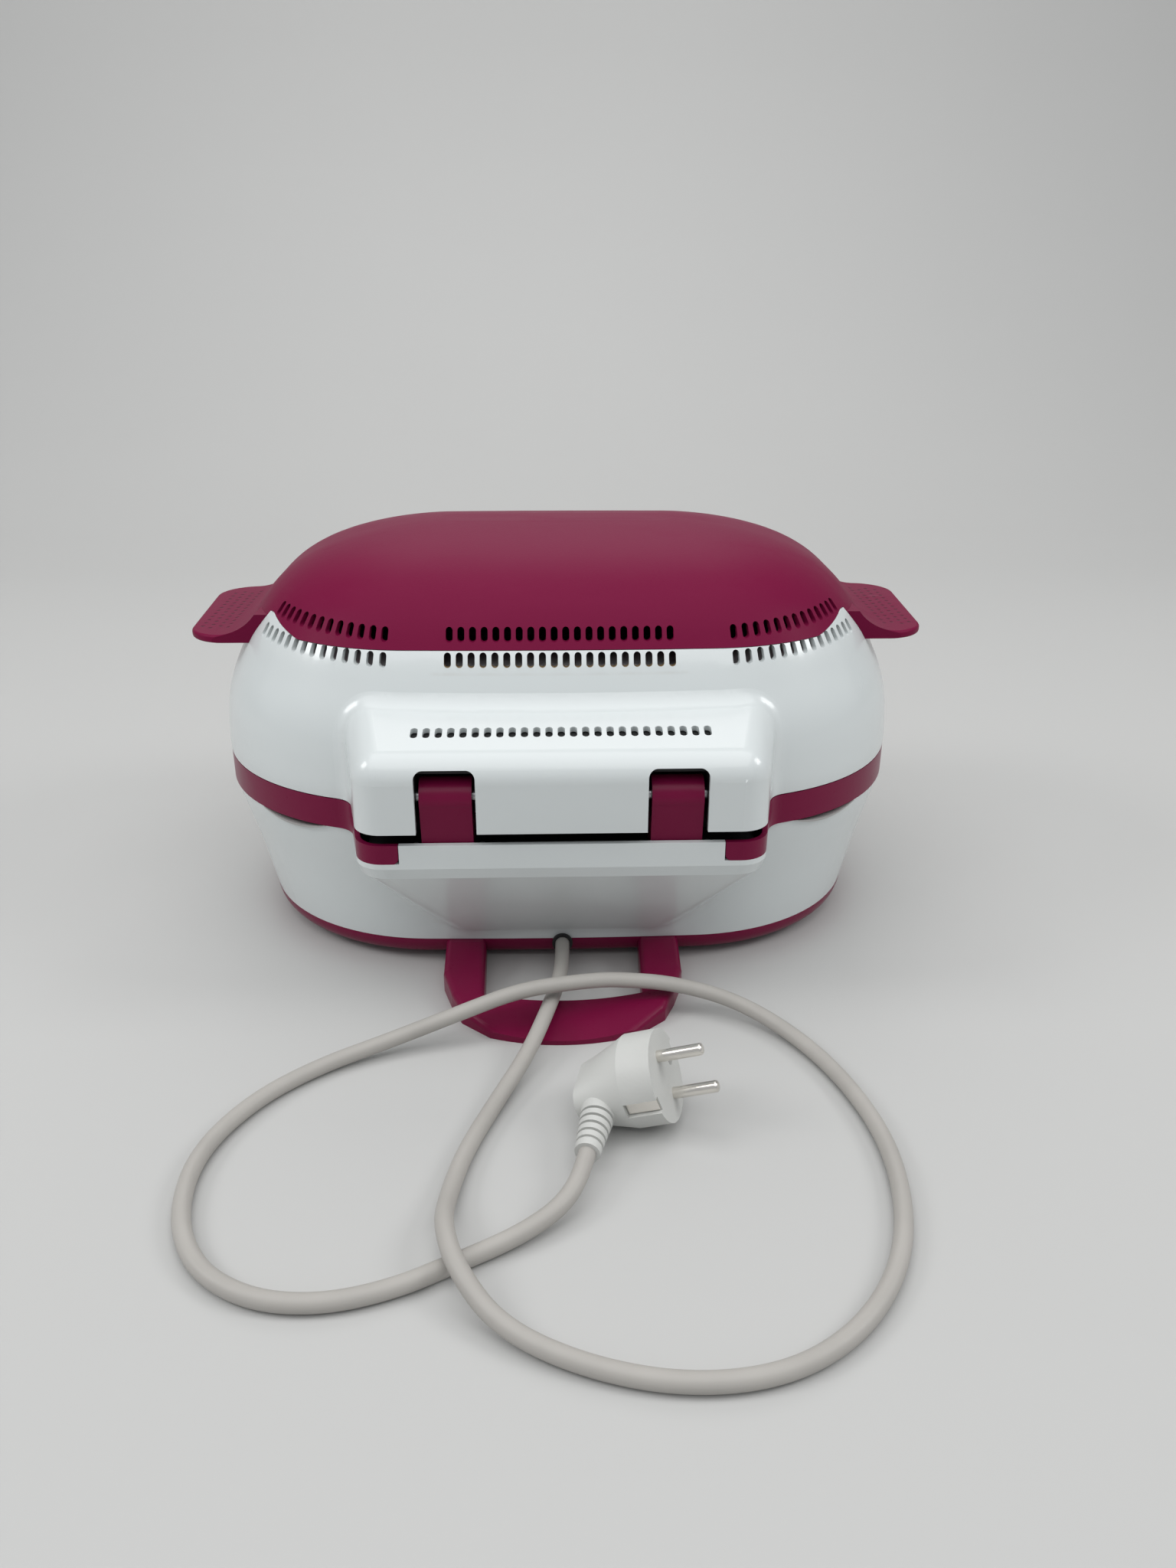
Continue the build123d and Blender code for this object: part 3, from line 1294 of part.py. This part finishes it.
print("cord length", round(cord_length, 1), "volume share", round(power_cord.part.volume / section / cord_length, 5))
save(power_cord, "power_cord")

# Angled plug: a round face, a body that tapers to the back and a ribbed strain relief
face_plane = Plane(origin=plug_face, x_dir=leads, z_dir=points_way)
with BuildPart() as plug_body:
    with BuildSketch(face_plane):
        Circle(plug_radius)
    extrude(amount=-plug_disc)
    with BuildSketch(face_plane.offset(-plug_disc)):
        Circle(plug_radius)
    with BuildSketch(face_plane.offset(-plug_length)):
        with Locations((3, 0)):
            RectangleRounded(26, 17, 7)
    loft()
    with BuildSketch(Plane(origin=relief_origin + leads * 4, x_dir=points_way, z_dir=leads)):
        Circle(relief_radius)
    with BuildSketch(Plane(origin=relief_origin + leads * relief_length, x_dir=points_way, z_dir=leads)):
        Circle(relief_end_radius)
    loft()
    for side in (-1, 1):
        with BuildSketch(face_plane):
            with Locations((side * (plug_radius - clip_slot_depth), 0)):
                Rectangle(
                    2 * clip_slot_depth, clip_slot_width,
                    align=(Align.MIN if side > 0 else Align.MAX, Align.CENTER),
                )
        extrude(amount=-plug_disc, mode=Mode.SUBTRACT)
    with BuildSketch(face_plane):
        with Locations((-10, 0)):
            Circle(2.6)
    extrude(amount=-12, mode=Mode.SUBTRACT)
    for number in range(relief_grooves):
        groove_at = relief_length - 3.0 - 3.6 * number
        groove_plane = Plane(origin=relief_origin + leads * groove_at, x_dir=points_way, z_dir=leads)
        with BuildSketch(groove_plane):
            Circle(relief_radius + 3)
            Circle(relief_end_radius - 0.6 + 0.1 * number, mode=Mode.SUBTRACT)
        extrude(amount=-1.2, mode=Mode.SUBTRACT)
save(plug_body, "plug_body")

with BuildPart() as plug_pins:
    with BuildSketch(face_plane):
        with Locations((0, -plug_pin_spread / 2), (0, plug_pin_spread / 2)):
            Circle(plug_pin_radius)
    extrude(amount=plug_pin_length)
    fillet(plug_pins.edges().filter_by(
        lambda edge: (edge.center() - plug_face).dot(points_way) > plug_pin_length - 0.1
    ), radius=1.2)
save(plug_pins, "plug_pins")

with BuildPart() as plug_earth_clips:
    for side in (-1, 1):
        with BuildSketch(face_plane.offset(-0.5)):
            with Locations((side * (plug_radius - clip_slot_depth), 0)):
                Rectangle(
                    0.8, clip_slot_width - 1.5,
                    align=(Align.MIN if side > 0 else Align.MAX, Align.CENTER),
                )
        extrude(amount=-plug_disc + 1)
save(plug_earth_clips, "plug_earth_clips")
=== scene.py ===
import json
import math

import bpy
from mathutils import Matrix, Vector


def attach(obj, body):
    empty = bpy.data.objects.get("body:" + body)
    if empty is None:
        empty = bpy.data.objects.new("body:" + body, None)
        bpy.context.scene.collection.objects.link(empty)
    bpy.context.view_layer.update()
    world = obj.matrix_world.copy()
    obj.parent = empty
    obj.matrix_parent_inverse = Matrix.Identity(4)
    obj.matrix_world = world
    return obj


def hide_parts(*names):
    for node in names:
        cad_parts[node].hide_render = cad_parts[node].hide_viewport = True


# Electric cake maker seen from its hinge side: white shells, magenta trim and a loose white cord.
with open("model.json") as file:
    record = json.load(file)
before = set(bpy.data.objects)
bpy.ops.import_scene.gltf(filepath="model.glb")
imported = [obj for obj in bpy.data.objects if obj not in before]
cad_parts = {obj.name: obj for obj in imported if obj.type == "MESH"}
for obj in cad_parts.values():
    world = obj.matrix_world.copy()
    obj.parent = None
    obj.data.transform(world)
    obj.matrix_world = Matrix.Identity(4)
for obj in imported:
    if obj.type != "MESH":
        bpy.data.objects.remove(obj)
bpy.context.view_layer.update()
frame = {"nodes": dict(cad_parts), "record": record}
scene = bpy.context.scene
nodes = frame["nodes"]


# Camera at the height and slant of a standing viewer close behind the appliance
camera_place = (0.00387, 0.5895, 0.313)
camera_ahead = (-0.0297, -0.9200, -0.3907)
camera_tilt = -0.122
camera_lens = 27.07


def place_camera():
    """Sets the camera by where it stands, where it looks and its tilt"""
    ahead = Vector(camera_ahead).normalized()
    tilt = math.radians(camera_tilt)
    side = ahead.cross(Vector((0, 0, 1))).normalized()
    up = side.cross(ahead)
    side, up = side * math.cos(tilt) - up * math.sin(tilt), up * math.cos(tilt) + side * math.sin(tilt)
    lens = bpy.data.cameras.new("camera")
    lens.sensor_fit = "VERTICAL"
    lens.sensor_height = 36
    lens.lens = camera_lens
    camera = bpy.data.objects.new("camera", lens)
    axes = Matrix((side, up, -ahead)).transposed().to_4x4()
    camera.matrix_world = Matrix.Translation(camera_place) @ axes
    scene.collection.objects.link(camera)
    scene.camera = camera


place_camera()

# The cord's route over the table in metres: out of the rear wall, one loose loop, to the plug
cord_route = [
    (0.0, 0.0745, 0.0122), (0.0, 0.0975, 0.0122), (0.0025, 0.121, 0.0134), (0.008, 0.144, 0.0125),
    (0.016, 0.167, 0.0075), (0.029, 0.195, 0.0036), (0.0395, 0.224, 0.0036), (0.044, 0.249, 0.0046),
    (0.044, 0.270, 0.0114), (0.038, 0.290, 0.0114), (0.023, 0.309, 0.005), (-0.005, 0.324, 0.0036),
    (-0.037, 0.3315, 0.0036), (-0.068, 0.328, 0.0036), (-0.093, 0.313, 0.0036), (-0.112, 0.289, 0.0036),
    (-0.123, 0.259, 0.0036), (-0.126, 0.221, 0.0036), (-0.118, 0.183, 0.0036), (-0.103, 0.151, 0.004),
    (-0.080, 0.129, 0.008), (-0.052, 0.124, 0.0145), (-0.024, 0.129, 0.0205), (-0.009, 0.1335, 0.0225),
    (0.019, 0.1395, 0.0225), (0.046, 0.146, 0.015), (0.077, 0.154, 0.0065), (0.106, 0.168, 0.0036),
    (0.129, 0.191, 0.0036), (0.143, 0.222, 0.0036), (0.141, 0.255, 0.0036), (0.128, 0.280, 0.0036),
    (0.107, 0.294, 0.0036), (0.083, 0.297, 0.0036), (0.059, 0.291, 0.0036), (0.038, 0.2795, 0.0036),
    (0.0255, 0.273, 0.0038), (0.0137, 0.2663, 0.0049), (0.0027, 0.2576, 0.0066),
    (-0.00446, 0.24647, 0.00892), (-0.00764, 0.23339, 0.01004),
]
cord_diameter = 0.0069


def lay_cord():
    """Round sheath along one smooth spline"""
    shape = bpy.data.curves.new("mains_cord", "CURVE")
    shape.dimensions = "3D"
    spline = shape.splines.new("NURBS")
    spline.points.add(len(cord_route) - 1)
    for point, place in zip(spline.points, cord_route):
        point.co = (*place, 1)
    spline.order_u = 3
    spline.use_endpoint_u = True
    shape.resolution_u = 10
    shape.bevel_depth = cord_diameter / 2
    shape.bevel_resolution = 6
    cord = bpy.data.objects.new("mains_cord", shape)
    scene.collection.objects.link(cord)
    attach(cord, "base")
    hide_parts("power_cord")
    return cord


mains_cord = lay_cord()


class Signal:
    """A shader socket that can stand in a sum"""

    def __init__(self, finish, socket):
        self.finish = finish
        self.socket = socket

    def maths(self, operation, first, second):
        return self.finish.node("ShaderNodeMath", {"operation": operation}, {0: first, 1: second})

    def __add__(self, other):
        return self.maths("ADD", self, other)

    __radd__ = __add__

    def __sub__(self, other):
        return self.maths("SUBTRACT", self, other)

    def __rsub__(self, other):
        return self.maths("SUBTRACT", other, self)

    def __mul__(self, other):
        return self.maths("MULTIPLY", self, other)

    __rmul__ = __mul__

    def __truediv__(self, other):
        return self.maths("DIVIDE", self, other)

    def __rtruediv__(self, other):
        return self.maths("DIVIDE", other, self)

    def __pow__(self, other):
        return self.maths("POWER", self, other)

    def __mod__(self, other):
        return self.maths("FLOORED_MODULO", self, other)

    def __abs__(self):
        return self.maths("ABSOLUTE", self, 0.0)

    def clamped(self):
        """The same signal, held between 0 and 1"""
        return self.finish.node("ShaderNodeMath", {"operation": "ADD", "use_clamp": True}, {0: self, 1: 0.0})


class Finish:
    """One material and its nodes"""

    def __init__(self, name):
        self.material = bpy.data.materials.new(name)
        self.material.use_nodes = True
        self.tree = self.material.node_tree
        self.tree.nodes.clear()
        self.place = None

    def node(self, kind, settings=None, sockets=None, output=0):
        """Adds a node, sets it up, feeds its sockets and gives one of its outputs"""
        made = self.tree.nodes.new(kind)
        for name, value in (settings or {}).items():
            setattr(made, name, value)
        for name, value in (sockets or {}).items():
            if isinstance(value, Signal):
                self.tree.links.new(value.socket, made.inputs[name])
            else:
                made.inputs[name].default_value = value
        return Signal(self, made.outputs[output])

    def position(self):
        """Place on the piece at rest, in metres"""
        if self.place is None:
            self.place = self.node("ShaderNodeTexCoord", output="Object")
        return self.place

    def axis(self, letter):
        """One coordinate of the place"""
        return self.node("ShaderNodeSeparateXYZ", None, {0: self.position()}, output=letter)

    def noise(self, scale, detail=2.0, roughness=0.5, stretch=(1, 1, 1)):
        """Cloudy value between 0 and 1, its grain 1/scale metres"""
        where = self.node("ShaderNodeMapping", None, {"Vector": self.position(), "Scale": stretch})
        return self.node(
            "ShaderNodeTexNoise", {"normalize": True},
            {"Vector": where, "Scale": scale, "Detail": detail, "Roughness": roughness},
        )

    def window(self, value, low, high):
        """0 below low, 1 above high, smooth between"""
        return self.node(
            "ShaderNodeMapRange", {"interpolation_type": "SMOOTHSTEP"},
            {"Value": value, "From Min": low, "From Max": high, "To Min": 0.0, "To Max": 1.0},
        )

    def mix(self, mask, low, high):
        """Colour low where mask is 0, high where it is 1"""
        low, high = (c if isinstance(c, Signal) else (*c[:3], 1) for c in (low, high))
        return self.node(
            "ShaderNodeMix", {"data_type": "RGBA", "clamp_factor": True}, {0: mask, 6: low, 7: high}, output=2
        )

    def bump(self, height, depth, strength=1.0):
        """Normal for a height of that many metres"""
        sockets = {"Height": height, "Distance": depth, "Strength": strength}
        return self.node("ShaderNodeBump", None, sockets)

    def surface(self, **sockets):
        """Ends the material in one Principled surface"""
        names = {}
        for name, value in sockets.items():
            plain_colour = isinstance(value, tuple) and len(value) == 3
            label = name.replace("_", " ").title().replace("Ior", "IOR")
            names[label] = (*value, 1) if plain_colour else value
        skin = self.node("ShaderNodeBsdfPrincipled", None, names)
        made = self.tree.nodes.new("ShaderNodeOutputMaterial")
        self.tree.links.new(skin.socket, made.inputs["Surface"])
        return self.material


def specks(finish, scale, share, soft=0.02):
    """Sparse small marks: 1 in the brightest share of a fine noise"""
    return finish.window(finish.noise(scale, 1.0), 1 - share - soft, 1 - share + soft)


def scuffs(finish, scale, stretch, low, high):
    """Long fine marks along one direction"""
    return finish.window(finish.noise(scale, 3.0, 0.6, stretch), low, high)


white = (0.66, 0.70, 0.70)
magenta = (0.165, 0.0045, 0.040)
faded_magenta = (0.24, 0.035, 0.085)

# Rear wall of the lid shell round the middle vents: where it stands, how it bows and leans
rear_wall_y = 0.0792
lean_z = 0.155
wall_lean = 0.58
wall_bow = 3.88
row_half_x = 0.056
row_low_z = 0.150
row_high_z = 0.162
stain_start_y = 0.060

# Dimples of the grip ears
ear_middle_y = -0.028
pit_first_x = 0.1635
pit_step_x = 0.0045
pit_step_y = 0.0062
pit_lines = 4
pit_half_y = 0.038
pit_edge = 0.0002
pit_core = 0.0006
pit_rim = 0.0013
ear_face_z = 0.1525


def white_shell():
    """Glossy white moulding with faint waves and dust, browned inside the middle vents"""
    finish = Finish("white_shell")
    x, y, z = (finish.axis(letter) for letter in "XYZ")
    waves = finish.noise(9, 1.0)
    grain = finish.noise(900, 2.0)
    dust = specks(finish, 420, 0.16)
    wall = rear_wall_y - x * x / wall_bow - wall_lean * (z - lean_z)
    row_ends = 1 - finish.window(abs(x), row_half_x, row_half_x + 0.004)
    row_foot = finish.window(z, row_low_z, row_low_z + 0.002)
    row_top = 1 - finish.window(z, row_high_z, row_high_z + 0.001)
    inside = finish.window(wall - y, 0.0003, 0.0009) * row_ends * row_foot * row_top
    inside = inside * finish.window(y, stain_start_y, stain_start_y + 0.002)
    brown = finish.mix(finish.noise(140, 3.0), (0.42, 0.31, 0.17), (0.16, 0.10, 0.05))
    colour = finish.mix(dust * 0.08, white, (0.35, 0.36, 0.34))
    colour = finish.mix(inside, colour, brown)
    return finish.surface(
        base_color=colour, roughness=0.20 + 0.10 * finish.noise(30, 3.0),
        coat_weight=0.35, coat_roughness=0.08,
        normal=finish.bump(waves * 0.6 + grain * 0.02, 0.0009, 0.5),
    )


def white_button():
    """Plain satin white for the buttons"""
    finish = Finish("white_button")
    grain = finish.noise(1400, 2.0)
    return finish.surface(
        base_color=white, roughness=0.32 + 0.08 * grain, normal=finish.bump(grain, 0.0001, 0.4),
    )


def dimples(finish, x, y, z):
    """Small round pits in staggered lines over the flat of each grip ear"""
    line = (abs(x) - pit_first_x) / pit_step_x
    row = y / pit_step_y + 0.5 * ((line - line % 1) % 2)
    across = (line % 1 - 0.5) * pit_step_x
    along = (row % 1 - 0.5) * pit_step_y
    away = (across * across + along * along) ** 0.5
    last_x = pit_first_x + pit_lines * pit_step_x
    field = finish.window(abs(x), pit_first_x, pit_first_x + pit_edge)
    field = field * (1 - finish.window(abs(x), last_x, last_x + pit_edge))
    field = field * (1 - finish.window(abs(y - ear_middle_y), pit_half_y, pit_half_y + pit_edge))
    field = field * finish.window(z, ear_face_z, ear_face_z + pit_edge)
    return field * (1 - finish.window(away, pit_core, pit_rim))


def magenta_cover():
    """Satin magenta of the lid's cover: rubbed streaks, pale scratches and small dimples on the ears, each
    dimple painted near black as shade
    """
    finish = Finish("magenta_cover")
    x, y, z = (finish.axis(letter) for letter in "XYZ")
    rub = finish.window(finish.noise(26, 4.0, 0.6, (0.35, 1, 1)), 0.50, 0.85)
    lines = scuffs(finish, 240, (0.08, 1, 1), 0.70, 0.82)
    marks = scuffs(finish, 70, (0.25, 1, 1), 0.62, 0.78) * lines
    grain = finish.noise(1100, 2.0)
    pits_and_painted_shade = dimples(finish, x, y, z)
    colour = finish.mix(rub * 0.10, magenta, faded_magenta)
    colour = finish.mix((marks * 0.8 + lines * 0.02).clamped(), colour, (0.42, 0.24, 0.30))
    # Painted shade: each dimple pit is darkened to near black
    colour = finish.mix(pits_and_painted_shade * 0.95, colour, (0.05, 0.002, 0.015))
    return finish.surface(
        base_color=colour, roughness=0.40 + 0.12 * rub + 0.08 * grain, specular_ior_level=0.08,
        normal=finish.bump(grain + lines * -0.5 + pits_and_painted_shade * -6.0, 0.00008, 0.5),
    )


def magenta_trim():
    """Glossier magenta of the band, arms, tray and loop"""
    finish = Finish("magenta_trim")
    grain = finish.noise(800, 2.0)
    rub = finish.window(finish.noise(60, 3.0), 0.55, 0.8)
    colour = finish.mix(rub * 0.12, magenta, faded_magenta)
    return finish.surface(
        base_color=colour, roughness=0.26 + 0.10 * rub + 0.05 * grain, specular_ior_level=0.16,
        normal=finish.bump(grain, 0.00006, 0.4),
    )


def moulded(name, colour, low, span, scale=900, depth=0.00012, **more):
    """Grained moulding or rubber: roughness from low to low + span"""
    finish = Finish(name)
    grain = finish.noise(scale, 3.0)
    shade = finish.noise(35, 2.0)
    darker = tuple(0.8 * c for c in colour[:3])
    return finish.surface(
        base_color=finish.mix(shade, colour, darker), roughness=low + span * grain,
        normal=finish.bump(grain, depth, 0.5), **more,
    )


def worn_metal(name, colour, roughness, stretch=(1, 1, 1), tint=(0.25, 0.22, 0.19)):
    """Metal with fine lines and darker handled patches"""
    finish = Finish(name)
    lines = finish.noise(700, 3.0, 0.6, stretch)
    patch = finish.window(finish.noise(45, 3.0), 0.5, 0.8)
    return finish.surface(
        base_color=finish.mix(patch * 0.5, colour, tint), metallic=1.0, roughness=roughness + 0.15 * lines,
        normal=finish.bump(lines, 0.00005, 0.4),
    )


def dark_glass():
    """Tinted window of the display"""
    finish = Finish("dark_glass")
    smear = finish.noise(60, 2.0)
    return finish.surface(base_color=(0.012, 0.014, 0.016), roughness=0.06 + 0.08 * smear, coat_weight=0.6)


def circuit_board():
    """Green lacquer with paler tracks under it"""
    finish = Finish("circuit_board")
    tracks = finish.window(finish.noise(260, 1.0, 0.4, (1, 0.2, 1)), 0.5, 0.54)
    colour = finish.mix(tracks, (0.01, 0.09, 0.03), (0.03, 0.17, 0.06))
    return finish.surface(base_color=colour, roughness=0.35 + 0.1 * tracks, coat_weight=0.3)


finishes = {
    "white_plastic": white_shell(),
    "magenta_plastic": magenta_trim(),
    "black_plastic": moulded("black_moulding", (0.012, 0.012, 0.013), 0.42, 0.2),
    "grey_plastic": moulded("grey_lip", (0.46, 0.45, 0.44), 0.32, 0.2),
    "rubber": moulded("foot_rubber", (0.025, 0.025, 0.026), 0.7, 0.2),
    "nonstick": moulded("nonstick_coat", (0.035, 0.034, 0.036), 0.3, 0.2, 500, 0.00005),
    "sheet_metal": worn_metal("liner_sheet", (0.72, 0.72, 0.73), 0.28, (1, 0.1, 1)),
    "heater": worn_metal("heater_sheath", (0.22, 0.21, 0.20), 0.42),
    "ceramic": moulded("ceramic_bush", (0.74, 0.70, 0.62), 0.55, 0.2),
    "steel": worn_metal("plated_steel", (0.62, 0.62, 0.64), 0.25),
    "pin_metal": worn_metal("plug_pin", (0.80, 0.77, 0.72), 0.16, tint=(0.45, 0.40, 0.34)),
    "lens": dark_glass(),
    "board": circuit_board(),
    "cord_white": moulded("cord_sheath", (0.46, 0.44, 0.41), 0.42, 0.15, 500, 0.00006),
    "plug_white": moulded("plug_moulding", (0.63, 0.635, 0.61), 0.42, 0.15, 700, 0.00008),
}
special = {"top_cover": magenta_cover()}
special.update({f"button_{number}": white_button() for number in range(1, 6)})

for row in frame["record"]["subparts"]:
    piece = nodes[row["node"]]
    piece.data.materials.clear()
    piece.data.materials.append(special.get(row["node"], finishes[row["material_slot"]]))
mains_cord.data.materials.append(finishes["cord_white"])


# Studio: a pale table that sweeps up into a backdrop, one broad ceiling light, two soft sides and a front
def studio():
    """Stage and lamps; the stage isn't part of the appliance"""
    floor_colour = (0.52, 0.52, 0.51)
    cloud_colour = tuple(0.92 * c for c in floor_colour)
    finish = Finish("pale_table")
    cloud = finish.noise(3, 2.0)
    stage_skin = finish.surface(
        base_color=finish.mix(cloud * 0.3, floor_colour, cloud_colour), roughness=0.6,
    )
    reach, back, bend, top = 6.0, -1.6, 0.8, 4.0
    profile = [(reach, 0.0), (back + bend, 0.0)]
    profile += [
        (back + bend - bend * math.sin(math.radians(a)), bend - bend * math.cos(math.radians(a)))
        for a in range(10, 91, 10)
    ]
    profile.append((back, top))
    vertices = [(x, y, z) for x in (-reach, reach) for y, z in profile]
    count = len(profile)
    faces = [(n, n + 1, count + n + 1, count + n) for n in range(count - 1)]
    mesh = bpy.data.meshes.new("studio_sweep")
    mesh.from_pydata(vertices, [], faces)
    for face in mesh.polygons:
        face.use_smooth = True
    mesh.materials.append(stage_skin)
    sweep = bpy.data.objects.new("studio_sweep", mesh)
    scene.collection.objects.link(sweep)
    lamps = [
        ("ceiling", (0.1, 0.5, 1.9), (0, 0, 0.05), 2.4, 26),
        ("left", (-1.5, 0.3, 1.2), (0, 0, 0.1), 0.6, 8),
        ("right", (1.5, 0.3, 1.2), (0, 0, 0.1), 0.6, 8),
        ("front", (0.0, -1.3, 1.4), (0, 0, 0.1), 1.2, 6),
    ]
    for name, place, aim, size, power in lamps:
        light = bpy.data.lights.new(name, "AREA")
        light.size = size
        light.energy = power
        lamp = bpy.data.objects.new(name, light)
        lamp.location = place
        lamp.rotation_euler = (Vector(aim) - Vector(place)).to_track_quat("-Z", "Y").to_euler()
        scene.collection.objects.link(lamp)
    world = bpy.data.worlds.new("room")
    scene.world = world
    world.use_nodes = True
    world.node_tree.nodes["Background"].inputs["Color"].default_value = (0.9, 0.92, 0.95, 1)
    world.node_tree.nodes["Background"].inputs["Strength"].default_value = 0.45


studio()
scene.view_settings.view_transform = "Standard"
